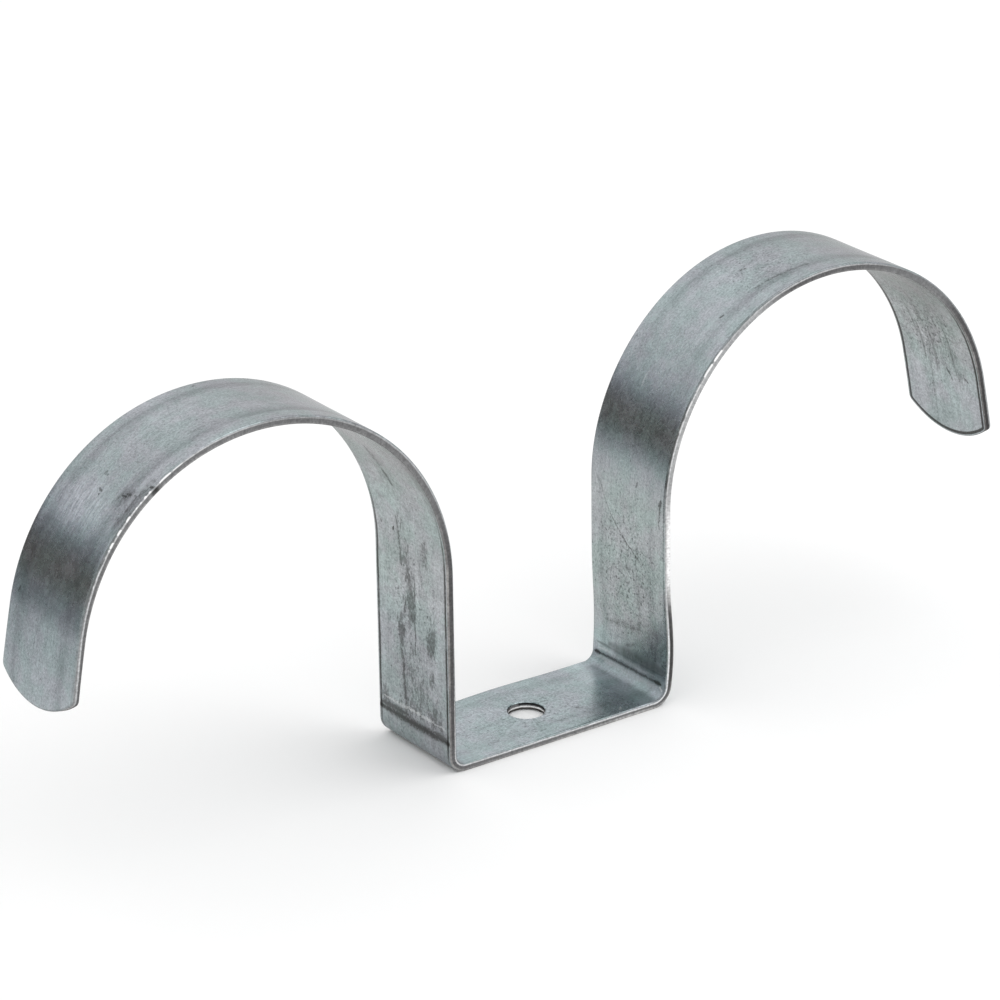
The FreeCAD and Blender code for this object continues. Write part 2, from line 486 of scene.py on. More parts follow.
# Patterns in the rolled zinc: features a millimetre, detail, roughness, and a stretch where there is one
ZINC_PATTERNS = {
    "hue": (0.16, 3, 0.6),
    "cloud": (0.11, 2, 0.5),
    "patch": (0.5, 4, 0.62),
    "grain": (2.2, 3, 0.7),
    "grit": (1, 4, 0.7, (1.5, 2.6, 1)),
    "pore": (1.35, 3, 0.65),
    "streak": (1, 3, 0.6, (0.05, 1.7, 1)),
    "brush": (1, 3, 0.6, (0.36, 1.9, 1)),
    "smear": (1, 4, 0.65, (0.32, 0.9, 1)),
}
TONE_WEIGHTS = {"cloud": 0.20, "patch": 0.36, "grain": 0.86, "streak": 0.22}
HEIGHT_WEIGHTS = {"streak": 0.5, "patch": 1.1}
PLAIN_CONTRAST = 1.45
PITTED_CONTRAST = 0.75      # added where the zinc is pitted
PIT_END = 0.36              # pores below this are pits
PIT_GROWTH = 0.10           # added to it where the zinc is pitted
PIT_SOFTNESS = 0.13
PIT_TONE = 0.50
PIT_ROUGHNESS = 0.15
PIT_HEIGHT = -0.5
FLECK_START = 0.68          # pores above this are bright flecks
FLECK_GROWTH = -0.09        # added to it where the zinc is flecked
FLECK_SOFTNESS = 0.08
FLECK_SHINE = 0.13
BRUSH_SHINE = 0.44
BRUSH_VIOLET = 0.5
ZINC_ROUGHNESS = 0.27
ROUGHNESS_SWING = 0.14
BEND_ROUGHNESS = 0.30       # added at the foot's bends
DARK_ROUGHNESS = 0.15       # added on dark marks
ZINC_RELIEF = 0.000003
WANDER_SCALE = 0.33
MARK_WANDER = (1.1, 1.1, 0)
RUB_DARKNESS = 0.92
BLOT_DARKNESS = 0.68

# The two rolling bands: strength, middle between them, distance from it, how far each reaches and wanders
BAND_STRENGTH = 0.42
BAND_MIDDLE = 0.3
BAND_PLACE = 7.7
BAND_OUTSIDE = 1.3
BAND_INSIDE = 3.0
BAND_WANDER = 1.0

# Dark line inside the edge of each face: from and to, as insets, and strength
RIM_LINES = {"outer": (-0.05, 0.28, 0.8), "inner": (0.36, 0.88, 1.0)}
RIM_LINE_WANDER = 0.25

# Patterns on the cuts, and how far the tears make their bands ragged
TEAR_PATTERN = (1, 3, 0.65, (0.7, 0.7, 0.9))
FINE_PATTERN = (1, 2, 0.6, (2.6, 2.6, 1.6))
RAGGEDNESS = 0.3
BURNISH = 0.28              # height of the bright burnish above the tear
TEAR_RELIEF = 0.00002
# Strength of the painted shadow under the hole's rim
RIM_SHADOW_STRENGTH = 0.95
POCK_STRENGTH = 0.7

# What changes along the strip, as (along, value), even between and held beyond the ends
ALONG_STRIP = {
    # The cut: how dark it is torn, how far its bands lie below their plain place, the shine of its ridge,
    # its border, how far these two lie above their place, how much darker its front is, and its painted
    # highlight
    "tear": ((-186, 0.85), (-160, 0.82), (-152, 0.74), (-135, 0.78), (-118, 0.66), (-104, 0.66),
        (-75, 0.74), (-62, 0.96), (-30, 0.97), (-22, 0.84), (20, 0.84), (30, 0.97), (44, 0.9), (52, 0.3),
        (62, 0.28), (67, 0.42), (80, 0.42), (87, 0.32), (103, 0.3), (112, 0.94), (128, 0.84), (140, 0.56),
        (150, 0.52), (158, 0.95), (164, 1)),
    "cut_drop": ((-180, 0.46), (-165, 0.19), (-140, -0.02), (-110, -0.04), (-84, -0.04), (-62, -0.32),
        (-40, -0.18), (-12, 0.08), (20, 0.06), (29, 0.12), (40, 0.12), (56, 0.15), (92, 0.18), (115, 0.1),
        (145, -0.26), (164, -0.14), (180, -0.05)),
    "ridge": ((-182, 0.4), (-170, 0.6), (-161, 0.75), (-157, 0.65), (-145, 0.65), (-144.3, 0),
        (-143.6, 0), (-142.9, 0.65), (-138, 0.5), (-115, 0.15), (-82, 0.3), (-62, 0.1), (-44, 0.2),
        (-34, 0.6), (-15, 0.9), (18, 1), (34, 1), (48, 0.3), (56, 0.3), (72, 0.8), (95, 0.45), (118, 0.5),
        (145, 0), (164, 0.15), (182, 0.1)),
    "border": ((-180, 0.9), (-130, 0.5), (-112, 0.4), (-96, 0.15), (-74, 0.2), (-62, 0.9), (-36, 0.65),
        (-15, 0.85), (5, 1.1), (20, 1.1), (100, 0.6), (130, 0.3), (140, 0.1), (154, 0.2), (166, 0.75),
        (182, 0.55)),
    "ridge_rise": ((21, 0), (27, 0.2), (40, 0.2), (46, 0)),
    "border_rise": ((-30, 0), (-16, 0.06), (3, 0.08), (8, 0.2), (20, 0.2), (26, 0)),
    "edge_darkening": ((-145, 0), (-144.3, 0.8), (-143.6, 0.8), (-142.9, 0), (22, 0), (27, 0.5), (38, 0.5),
        (47, 0), (168, 0), (178, 0.4)),
    "edge_highlight": ((41, 0), (48, 0.9), (57, 0.9), (64, 0)),
    # The dark lines at the outer and inner rims
    "outer_line": ((-182, 0.5), (-172, 0.55), (-166, 0.95), (-158, 0.95), (-150, 0.6), (-141, 0.1),
        (-126, 0.1), (-120, 0.8), (-102, 0.8), (-94, 0.4), (-75, 0.4), (-60, 0.6), (-20, 0.65), (4, 0.7),
        (24, 0.75), (42, 0.7), (48, 0.15), (58, 0.25), (66, 1.2), (80, 1.1), (87, 0.7), (100, 0.65),
        (110, 0.75), (125, 0.7), (140, 0.4)),
    "inner_line": ((-98, 0), (-76, 0.15), (-66, 0.9), (-45, 1.15), (-28, 1.15), (-24, 0.4), (20, 0.3),
        (140, 0.1), (155, 0.6), (165, 1.6), (186, 1.7)),
    # The faces: lighter or darker by a share, which is partly stains and partly painted light and shade
    # that lifts or deepens what they mirror; the casts of colour, the outer warmth partly the painted brown
    # of its mirrored dark bands; and the outer one's rolling bands
    "outer_shade": ((-178, -0.03), (-174, -0.105), (-171, -0.24), (-168, -0.06), (-165, -0.07), (-160, 0),
        (-156.5, 0.2), (-153, 0.08), (-150, -0.01), (-144, -0.07), (-135, -0.055), (-130, 0.02),
        (-118, -0.02), (-110, 0.06), (-104, 0.06), (-14, 0.07), (-5, 0.03), (7, 0.03), (13, 0),
        (16, 0.11), (19, 0.3), (22, 0.1), (31, 0.07), (36, 0), (40, 0.06), (44, 0), (47, -0.04),
        (57, -0.02), (64, -0.12), (70, -0.09), (73, -0.145), (76, -0.1), (79, -0.065), (82, 0.01),
        (86, -0.03), (91, -0.1), (97, -0.01), (108, 0.015), (113, -0.08), (120, 0)),
    "inner_shade": ((-96, 0), (-84, -0.06), (-81, -0.07), (-77, 0), (-72, 0.03), (-66, 0), (-50, 0),
        (-44, -0.06), (-40, 0), (150, -0.12), (156, -0.09), (160, 0.02), (165, 0.04), (168, -0.06),
        (171, -0.09), (175, 0), (179, 0.015), (184, -0.08)),
    "outer_warmth": ((-169, 0), (-166, 0.7), (-163, 0.7), (-160, 0), (26, 0), (34, 0.9), (60, 0.9),
        (66, 0.4), (70, 0.5), (73, 1), (76, 1), (80, 0)),
    "inner_warmth": ((-56, 0.8), (-48, 0.3), (-26, 0.3), (150, 1), (166, 1), (172, 0.8), (178, 0.4)),
    "outer_green": ((-25, 0), (-21, 0.7), (30, 0.9), (36, 0.2)),
    "inner_green": ((-80, 0), (-70, 0.3), (-64, 0)),
    "roll_mark": ((-185, 0.75), (-172, 0.6), (-160, 0.5), (-143, 0.8), (-110, 0.8), (-20, 0.3), (20, 0.5),
        (44, 0.7), (70, 0.1), (90, 0.3), (104, 0.75), (130, 0.8)),
}

# Marks of the outer face.  A smudge is (centre, half sizes, strength, break-up) and a rub is (from, to, half
# width, strength, break-up)
OUTER_MARKS = {
    # Smudges where it is pitted
    "pitted": (
        ((45, 0), (26, 18), 1.2, 0.3), ((-181, 0), (14, 16), 0.4, 0.3), ((0, -2), (24, 15), 0.95, 0.3),
        ((75, 0), (8, 14), 1, 0.3), ((113, 0), (14, 14), 0.9, 0.3), ((-134, 0), (16, 14), 0.45, 0.3),
    ),
    # Smudges where it is brushed bright
    "brushed": (
        ((-152.6, 1.5), (6.6, 12), 1.1, 0.5),
    ),
    # Dark rubs
    "rubs": (
        ((-171, 8.8), (-169.8, 8.6), 0.5, 0.8, 0.6), ((-145.6, 1.4), (-146.3, 1), 0.75, 0.62, 0.7),
        ((-146.3, 0.9), (-146.1, 0.2), 0.6, 0.6, 0.7), ((-148.6, -0.2), (-149.1, -1.1), 0.42, 0.8, 0.5),
        ((-149.6, -0.8), (-149.9, -1.3), 0.36, 0.6, 0.5),
        ((-147.9, -6.3), (-147.7, -7.5), 0.55, 0.95, 0.9), ((-147.2, -7), (-147, -8.3), 0.55, 0.92, 0.9),
        ((-146.8, -9), (-147.1, -9.8), 0.45, 0.75, 0.8), ((-149.4, -5.2), (-146, -8.8), 1.6, 0.46, 1.1),
        ((-152.5, -9.6), (-142.5, -10.2), 1.2, 0.5, 1.3), ((-144.4, -10.5), (-143.9, -11.4), 0.6, 1, 0.3),
        ((-122, 9.6), (-121.6, 10), 0.36, 0.8, 0.3), ((-132.5, -5.2), (-128.5, -5.6), 0.6, 0.45, 1),
        ((-176.5, 9.3), (-173, 8.9), 0.8, 0.4, 1), ((8, -4.2), (9.2, -4.8), 0.7, 0.55, 0.8),
        ((-10, -3.5), (-7, -4.2), 0.5, 0.35, 1.2), ((48.9, -3.8), (50.6, -1.1), 0.38, 0.8, 0.6),
        ((50.4, -1.1), (52.8, 1.9), 0.36, 0.8, 0.4), ((52.8, 1.9), (55.6, 5.2), 0.32, 0.7, 0.7),
        ((55.6, 5.2), (61.5, 8.6), 0.3, 0.6, 0.8), ((33.2, 7.5), (34.6, -3.5), 0.9, 0.55, 1.4),
        ((29.8, 1.5), (31.6, -2.5), 0.8, 0.55, 1.2), ((35, -3), (43.5, -3.3), 0.9, 0.5, 1.3),
        ((38.5, 4.5), (42, 2), 0.8, 0.45, 1.3), ((44.5, 6), (46.5, -1), 0.7, 0.45, 1.4),
        ((48.5, -3.4), (51.5, -2.8), 0.8, 0.55, 1.2), ((57.5, -9.6), (63, -10.2), 0.6, 0.7, 0.8),
        ((61.3, -10), (63.2, -10.3), 0.8, 0.85, 0.5), ((63.4, -2.6), (64.4, -3), 0.6, 0.6, 0.6),
        ((61, 8.6), (62.5, 9.6), 0.6, 0.5, 0.8), ((110, 1.5), (111, 1.1), 0.6, 0.75, 0.5),
        ((98.7, -5.3), (99.7, -5.8), 0.6, 0.7, 0.5), ((107.5, -6), (119.5, -6.9), 0.7, 0.62, 1),
    ),
    # Soft dark smudges; the broad one low on the right upright is painted darker reflection
    "stains_and_shade": (
        ((-150, -10.3), (7.5, 1.7), 0.5, 0.7), ((-147.6, -7.4), (2.6, 2.4), 0.28, 0.8),
        ((31.8, -2.5), (8, 12), 0.34, 0.5), ((42, 0), (22, 18), 0.1, 0.4),
    ),
    # Bright rubs; the lines across the right bend and the spot at the front end of its creases are painted
    # highlights
    "bright_rubs_and_highlights": (
        ((14, -10), (14.8, -9.2), 0.45, 0.9, 0.6), ((25.3, -9.7), (24.7, -10.3), 0.4, 0.8, 0.9),
        ((81.3, 2.3), (83.6, 2.7), 0.3, 0.4, 0.8), ((26.9, 9.3), (26.9, -8), 0.6, 0.3, 0.5),
        ((24.9, 9.5), (24.9, -9), 1.1, 0.26, 0.5),
    ),
    # Tool lines pressed in at the right bend
    "creases_and_contact_shadow": (
        ((25.8, 10.2), (26.05, -9.4), 0.56, 0.78, 1.2), ((25.75, 10.4), (25.8, 8.6), 0.75, 1, 0.5),
        ((26.05, -7.9), (26.05, -9.9), 0.8, 1, 0.5), ((27.9, 9.8), (27.9, -10.2), 0.6, 0.52, 0.9),
        ((28.6, 6), (28.7, -10.8), 1.7, 0.5, 0.5),
    ),
}

# Marks of the inner face, in the same form
INNER_MARKS = {
    # Smudges where it is pitted
    "pitted": (
        ((-76, 0), (14, 14), 0.45, 0.3), ((-48, 0), (34, 17), 0.8, 0.3), ((164, 1), (18, 16), 1.25, 0.3),
        ((180, 0), (10, 14), 0.4, 0.3),
    ),
    # Smudges where it is flecked bright
    "flecked": (
        ((-53, 0.6), (7, 2.6), 1, 0.4),
    ),
    # Dark rubs
    "rubs": (
        ((-69, 3.6), (-59, 3.2), 0.7, 0.7, 0.8), ((-50, 3.3), (-40, 3.4), 1, 0.6, 1),
        ((-42, 3.2), (-29.5, 2.6), 0.7, 0.85, 0.8), ((-58.5, -1.1), (-42.5, -0.9), 0.4, 0.75, 0.7),
        ((-86, 2.8), (-81, 2), 1.1, 0.65, 0.9), ((-80.2, 1.8), (-76.5, 1.1), 0.9, 0.75, 0.8),
        ((-66, 4.7), (-65.1, 5.1), 0.55, 1, 0.3), ((-66.5, 8.4), (-65.6, 9), 0.5, 0.6, 0.7),
        ((-68, 2.2), (-66.5, 2.4), 0.5, 0.6, 0.7), ((169.5, 2.9), (187, 3), 0.36, 0.55, 1),
        ((173.5, -1.9), (174.9, -2.7), 0.38, 0.95, 0.4), ((174.3, -6.7), (175.3, -7.7), 0.34, 0.85, 0.4),
        ((178.6, 3.3), (179.5, 4.2), 0.4, 0.6, 0.8), ((173, -2.5), (176, -2.9), 0.6, 0.52, 0.9),
        ((170.5, 0.8), (174, 0.6), 0.7, 0.6, 0.9),
    ),
    # Tool lines at the left bend, a line of painted contact shadow where that bend meets the floor, and
    # ribs that the former left on the right tip
    "creases_and_contact_shadow": (
        ((-28.3, 11.2), (-28.5, -11.2), 1.35, 0.94, 0.7), ((-29.2, 10.5), (-29.5, 2), 1.2, 0.84, 0.9),
        ((-29.2, -6.5), (-28.8, -10.6), 1, 0.82, 0.7), ((-28.3, 11.2), (-28.5, 9.8), 0.9, 1, 0.4),
        # The second mark on this line is the painted contact shadow where the bend meets the floor
        ((-28.5, -9.6), (-28.4, -11), 0.9, 1, 0.4), ((-22.5, 11.2), (-22.5, -11.2), 1.7, 0.8, 0.2),
        ((158, 5.4), (168, 5.1), 0.4, 0.34, 1.2), ((164, 4.3), (173.5, 4.1), 0.38, 0.5, 1.2),
        ((155, 2.3), (170, 2), 0.45, 0.34, 1.2), ((166, 1.2), (175, 1), 0.38, 0.52, 1.1),
        ((161, 0.2), (171.5, -0.1), 0.4, 0.34, 1.2), ((157, -1.8), (169, -2.1), 0.45, 0.34, 1.2),
        ((163, -4), (173, -4.3), 0.42, 0.48, 1.2),
    ),
    # Bright rub above the left bend
    "bright_rubs_and_highlights": (
        ((-30.7, 9.8), (-30.9, -9.8), 0.45, 0.42, 1.6),
    ),
    # Speckled smudges of dirt
    "blots": (
        ((-67.5, 2.6), (3.4, 1.7), 0.6, 1.2), ((-61, 1.6), (5, 2.3), 0.85, 1.1),
        ((-53.5, 0.8), (7, 2.4), 0.95, 1.1), ((-46, 3.4), (5, 1.8), 0.9, 1),
        ((-63.5, -4.4), (3.4, 2.2), 0.7, 1.1), ((-46.5, -6.4), (5.6, 2.2), 0.95, 0.9),
        ((-38.5, -5.6), (4.6, 2.6), 0.8, 1.1), ((-31.5, -6.4), (3.6, 3.6), 0.85, 1.1),
        ((-31, 9.2), (2.6, 2.6), 0.8, 1.1), ((-37, 0), (11, 5), 0.6, 1.2),
        ((-31.5, 0), (3.6, 7), 0.7, 1.2), ((167, 1), (9, 5), 0.42, 1.3), ((165, -5), (9, 3), 0.42, 1.3),
        ((174.3, -5.8), (2, 2.4), 0.6, 1.2),
    ),
    # Soft dark smudges; the broad one on the right tip is partly painted darker reflection
    "stains_and_shade": (
        ((-37, 0), (19, 15), 0.2, 0.4), ((-61, 1), (9, 16), 0.14, 0.4),
        ((-30.5, 0), (2.4, 18), 0.22, 0.4), ((-82, 2), (7, 3.4), 0.16, 0.5),
        ((-82, -11.2), (14, 3), 0.34, 0.2), ((156.5, 0.5), (22, 18), 0.3, 0.3),
    ),
}

# Bright nicks along the front rim, painted as white glints: from, to, strength
RIM_NICK_GLINTS = (
    (-157, -156.7, 0.7), (-156.4, -155.4, 1), (-153.9, -152.9, 1), (-151.2, -150.2, 1),
    (-148.6, -148.3, 0.8), (-147.4, -147.2, 0.7), (-146.4, -145.9, 1), (-145.2, -144.8, 0.9),
    (-142.7, -140.2, 1), (-139.6, -137.6, 0.6), (76.5, 78.5, 0.35), (80, 82.6, 0.5), (84.6, 86, 0.4),
    (87.6, 90.3, 0.9), (91, 93.4, 1),
)

# Nicks, painted as glints, as rubs: half width, break-up, and the strength below which they are left out
FACE_NICK_GLINTS = (0.09, 0.5, 0.85)
EDGE_NICK_GLINTS = (0.32, 1.1, 0)


# Helpers for node trees

def put(tree, kind, group=None, **values):
    """Adds a node, of a group if one is given, and fills its inputs by name."""
    node = tree.nodes.new(kind)
    if group:
        node.node_tree = group
    for name, value in values.items():
        fill(tree, node.inputs[name.replace("_", " ")], value)
    return node


def fill(tree, socket, value):
    """Sets an input, or joins it to an output."""
    if isinstance(value, bpy.types.NodeSocket):
        tree.links.new(value, socket)
    else:
        socket.default_value = value


def maths(tree, operation, *values, clamp=False):
    """A Math node's result."""
    node = tree.nodes.new("ShaderNodeMath")
    node.operation = operation
    node.use_clamp = clamp
    for socket, value in zip(node.inputs, values):
        fill(tree, socket, value)
    return node.outputs[0]


def times(tree, first, second, plus=None, clamp=False):
    """A product, with a further value added where one is given."""
    if plus is None:
        return maths(tree, "MULTIPLY", first, second, clamp=clamp)
    return maths(tree, "MULTIPLY_ADD", first, second, plus, clamp=clamp)


def swing(tree, pattern):
    """How far a pattern lies above its middle."""
    return maths(tree, "SUBTRACT", pattern, 0.5)


def vector_maths(tree, operation, first, second=None):
    """A Vector Math node's result, a number for a length or a dot product."""
    node = tree.nodes.new("ShaderNodeVectorMath")
    node.operation = operation
    fill(tree, node.inputs[0], first)
    if second is not None:
        fill(tree, node.inputs["Scale" if operation == "SCALE" else 1], second)
    return node.outputs["Value" if operation in ("LENGTH", "DOT_PRODUCT") else "Vector"]


def split(tree, places):
    """Along, across and depth of places on the blank."""
    return put(tree, "ShaderNodeSeparateXYZ", Vector=places).outputs


def ramp(tree, value, low, high, to_low=0.0, to_high=1.0, smooth=True):
    """A value carried from low..high to to_low..to_high, held at both ends."""
    node = put(tree, "ShaderNodeMapRange", Value=value, From_Min=low, From_Max=high,
               To_Min=to_low, To_Max=to_high)
    node.interpolation_type = "SMOOTHSTEP" if smooth else "LINEAR"
    return node.outputs["Result"]


def blend(tree, share, first, second, kind="MIX"):
    """Two colours mixed by a share."""
    node = tree.nodes.new("ShaderNodeMix")
    node.data_type = "RGBA"
    node.blend_type = kind
    fill(tree, node.inputs[0], share)
    fill(tree, node.inputs[6], first)
    fill(tree, node.inputs[7], second)
    return node.outputs[2]


def toned(tree, colour, tone):
    """A colour made lighter or darker by a value."""
    grey = put(tree, "ShaderNodeCombineColor", Red=tone, Green=tone, Blue=tone)
    return blend(tree, 1.0, colour, grey.outputs[0], "MULTIPLY")


def noise(tree, places, scale, detail, rough, stretch=None):
    """A noise value from 0 to 1 over the blank.  Scale is in features a millimetre."""
    if stretch:
        places = vector_maths(tree, "MULTIPLY", places, stretch)
    node = put(tree, "ShaderNodeTexNoise", Vector=places, Scale=scale, Detail=detail, Roughness=rough)
    return node.outputs[0]


def surface_value(tree, name):
    """A value that the mesh carries."""
    node = tree.nodes.new("ShaderNodeAttribute")
    node.attribute_name = name
    return node.outputs["Fac"]


def new_group(name, inputs, outputs):
    """An empty shader node group with named sockets: its tree, its inputs and its outputs."""
    tree = bpy.data.node_groups.new(name, "ShaderNodeTree")
    kinds = {"value": "NodeSocketFloat", "vector": "NodeSocketVector", "colour": "NodeSocketColor"}
    for way, sockets in (("INPUT", inputs), ("OUTPUT", outputs)):
        for socket, kind in sockets.items():
            tree.interface.new_socket(socket, in_out=way, socket_type=kinds[kind])
    return tree, tree.nodes.new("NodeGroupInput").outputs, tree.nodes.new("NodeGroupOutput").inputs


# Effects that more than one finish shares

def rolled_zinc_group():
    """Rolled zinc: a grey that drifts from green to violet, with clouds, patches, grain, lengthwise
    streaks, dark pits and bright flecks.  Gives its colour, its roughness, its height, three patterns
    that break up marks, two even and one smeared lengthwise, and places that wander a little."""
    tree, given, result = new_group(
        "rolled zinc",
        {"Blank": "vector", "Pitting": "value", "Flecking": "value", "Brushing": "value"},
        {"Colour": "colour", "Roughness": "value", "Height": "value", "Grain": "value",
         "Smear": "value", "Grit": "value", "Wandering": "vector"},
    )
    blank = given["Blank"]
    pattern = {name: noise(tree, blank, *recipe) for name, recipe in ZINC_PATTERNS.items()}

    tone = 0.0
    for name, weight in TONE_WEIGHTS.items():
        tone = times(tree, swing(tree, pattern[name]), weight, tone)
    tone = times(tree, tone, times(tree, given["Pitting"], PITTED_CONTRAST, PLAIN_CONTRAST), 1.0)
    pit_end = times(tree, given["Pitting"], PIT_GROWTH, PIT_END)
    pit = ramp(tree, pattern["pore"], pit_end, maths(tree, "SUBTRACT", pit_end, PIT_SOFTNESS))
    tone = times(tree, tone, ramp(tree, pit, 0.0, 1.0, 1.0, PIT_TONE, smooth=False))
    fleck_start = times(tree, given["Flecking"], FLECK_GROWTH, FLECK_START)
    fleck = ramp(tree, pattern["pore"], fleck_start, maths(tree, "ADD", fleck_start, FLECK_SOFTNESS))
    tone = times(tree, fleck, FLECK_SHINE, tone)
    brushed = times(tree, ramp(tree, pattern["brush"], 0.38, 0.64, 0.12, 1.0), given["Brushing"])
    tone = times(tree, brushed, BRUSH_SHINE, tone)
    violet = times(tree, given["Brushing"], BRUSH_VIOLET, ramp(tree, pattern["hue"], 0.36, 0.64), clamp=True)

    rough = times(tree, swing(tree, pattern["patch"]), ROUGHNESS_SWING, ZINC_ROUGHNESS)
    height = pattern["grain"]
    for name, weight in HEIGHT_WEIGHTS.items():
        height = times(tree, pattern[name], weight, height)
    drift = put(tree, "ShaderNodeTexNoise", Vector=blank, Scale=WANDER_SCALE, Detail=2.0)
    moved = vector_maths(tree, "SUBTRACT", drift.outputs["Color"], (0.5, 0.5, 0.5))
    moved = vector_maths(tree, "MULTIPLY", moved, MARK_WANDER)
    gives = {
        "Colour": toned(tree, blend(tree, violet, ZINC_GREEN, ZINC_VIOLET), tone),
        "Roughness": times(tree, pit, PIT_ROUGHNESS, rough),
        "Height": times(tree, pit, PIT_HEIGHT, height),
        "Grain": ramp(tree, pattern["grain"], 0.34, 0.66, smooth=False),
        "Smear": ramp(tree, pattern["smear"], 0.34, 0.66, smooth=False),
        "Grit": ramp(tree, pattern["grit"], 0.36, 0.64, smooth=False),
        "Wandering": vector_maths(tree, "ADD", blank, moved),
    }
    for name, value in gives.items():
        fill(tree, result[name], value)
    return tree


def stroke_group():
    """A rub along a line: 1 on the line from From to To, falling to 0 at Width to either side, drawn
    in towards both ends and broken up by a pattern."""
    tree, given, result = new_group(
        "rub stroke",
        {"Blank": "vector", "From": "vector", "To": "vector", "Width": "value", "Pattern": "value",
         "Break up": "value"},
        {"Mask": "value"},
    )
    flat = vector_maths(tree, "MULTIPLY", given["Blank"], (1, 1, 0))
    line = vector_maths(tree, "SUBTRACT", given["To"], given["From"])
    away = vector_maths(tree, "SUBTRACT", flat, given["From"])
    share = maths(tree, "DIVIDE", vector_maths(tree, "DOT_PRODUCT", away, line),
                  vector_maths(tree, "DOT_PRODUCT", line, line), clamp=True)
    aside = vector_maths(tree, "SUBTRACT", away, vector_maths(tree, "SCALE", line, share))
    distance = vector_maths(tree, "LENGTH", aside)
    from_middle = maths(tree, "ABSOLUTE", times(tree, share, 2.0, -1.0))
    taper = times(tree, maths(tree, "POWER", from_middle, 3.0), -0.6, 1.0)
    width = times(tree, given["Width"], taper)
    inside = maths(tree, "SUBTRACT", 1.0, maths(tree, "DIVIDE", distance, width))
    fill(tree, result["Mask"], broken_up(tree, inside, given["Pattern"], given["Break up"]))
    return tree


def smudge_group():
    """A soft blot: 1 in the middle of an oval of half sizes Size, 0 at its rim, eaten into by a
    pattern."""
    tree, given, result = new_group(
        "smudge",
        {"Blank": "vector", "Centre": "vector", "Size": "vector", "Pattern": "value",
         "Break up": "value"},
        {"Mask": "value"},
    )
    away = vector_maths(tree, "SUBTRACT", given["Blank"], given["Centre"])
    away = vector_maths(tree, "MULTIPLY", away, (1, 1, 0))
    reach = vector_maths(tree, "LENGTH", vector_maths(tree, "DIVIDE", away, given["Size"]))
    inside = maths(tree, "SUBTRACT", 1.0, reach)
    fill(tree, result["Mask"], broken_up(tree, inside, given["Pattern"], given["Break up"]))
    return tree


def broken_up(tree, inside, pattern, break_up):
    """A mark's mask: its own form plus the pattern's swing about the middle, from 0 to 1."""
    eaten = times(tree, swing(tree, pattern), break_up)
    near = maths(tree, "GREATER_THAN", inside, -0.25)
    return ramp(tree, times(tree, eaten, near, inside), 0.0, 0.85)


# Finishes

def new_metal(name):
    """A bare metal material: itself, its tree, its shader and the blank's places."""
    material = bpy.data.materials.new(name)
    material.use_nodes = True
    tree = material.node_tree
    shader = tree.nodes["Principled BSDF"]
    shader.inputs["Metallic"].default_value = 1.0
    shader.inputs["Specular Tint"].default_value = ZINC_EDGE_TINT
    blank = tree.nodes.new("ShaderNodeAttribute")
    blank.attribute_name = "blank"
    return material, tree, shader, blank.outputs["Vector"]


def dress(tree, shader, colour, rough, height, relief):
    """Joins a finish to its shader.  Its height is pressed into the surface, with the relief in metres."""
    bump = put(tree, "ShaderNodeBump", Height=height, Strength=1.0, Distance=relief)
    fill(tree, shader.inputs["Base Color"], colour)
    fill(tree, shader.inputs["Roughness"], rough)
    fill(tree, shader.inputs["Normal"], bump.outputs[0])


def add_marks(tree, groups, marks, blank, pattern):
    """All marks of one kind as a single mask: where they meet, the stronger one shows.  A mark with two
    places and a half width is a rub, and one with a centre and half sizes is a smudge."""
    total = None
    for *places, strength, break_up in marks:
        if len(places) == 3:
            start, end, width = places
            form = {"From": (*start, 0), "To": (*end, 0), "Width": width}
            group = groups["stroke"]
        else:
            centre, size = places
            form = {"Centre": (*centre, 0), "Size": (*size, 1)}
            group = groups["smudge"]
        mark = put(tree, "ShaderNodeGroup", group, Blank=blank, Pattern=pattern, Break_up=break_up, **form)
        weighed = times(tree, mark.outputs["Mask"], strength)
        total = weighed if total is None else maths(tree, "MAXIMUM", total, weighed)
    return 0.0 if total is None else total


def rim_nick_glints(half_width, break_up, weakest):
    """Nicks, painted as glints, that are stronger than the weakest, as rubs along the front rim."""
    rim = -HALF_WIDTH
    return [((start, rim), (end, rim), half_width, strength, break_up)
            for start, end, strength in RIM_NICK_GLINTS if strength > weakest]


def speckled(tree, mark, grit, darkness):
    """A mark broken into specks: they cover more of it, and are darker, where the mark is stronger."""
    cover = ramp(tree, times(tree, mark, 1.1, grit), 0.75, 1.35)
    depth = times(tree, mark, 0.75 * darkness, 0.25 * darkness)
    fading = ramp(tree, mark, 0.0, 0.2)
    return times(tree, times(tree, cover, depth), fading)


def rolling_bands(tree, blank, smear):
    """Two soft bands that the rolls left, as a mask: 1 at one distance from the strip's middle, falling
    steeply towards the edge and slowly towards the middle.  They wander a little along the strip, are
    stronger in some stretches than in others, and are smeared."""
    wander = noise(tree, blank, 1.0, 1.0, 0.5, stretch=(0.05, 0.0, 0.0))
    moved = times(tree, swing(tree, wander), BAND_WANDER, split(tree, blank)["Y"])
    away = maths(tree, "ABSOLUTE", maths(tree, "SUBTRACT", moved, BAND_MIDDLE))
    outside = ramp(tree, away, BAND_PLACE + BAND_OUTSIDE, BAND_PLACE)
    band = times(tree, outside, ramp(tree, away, BAND_PLACE - BAND_INSIDE, BAND_PLACE))
    band = times(tree, band, surface_value(tree, "roll_mark"))
    return times(tree, band, ramp(tree, smear, 0.0, 1.0, 0.7, 1.3, smooth=False))


def foot_bends(tree, blank):
    """1 on the foot's bends and 0 elsewhere."""
    run = maths(tree, "ABSOLUTE", split(tree, blank)["X"])
    return times(tree, ramp(tree, run, BEND_START - 4.0, BEND_START + 1.0),
                 ramp(tree, run, UPRIGHT_START + 2.0, UPRIGHT_START))


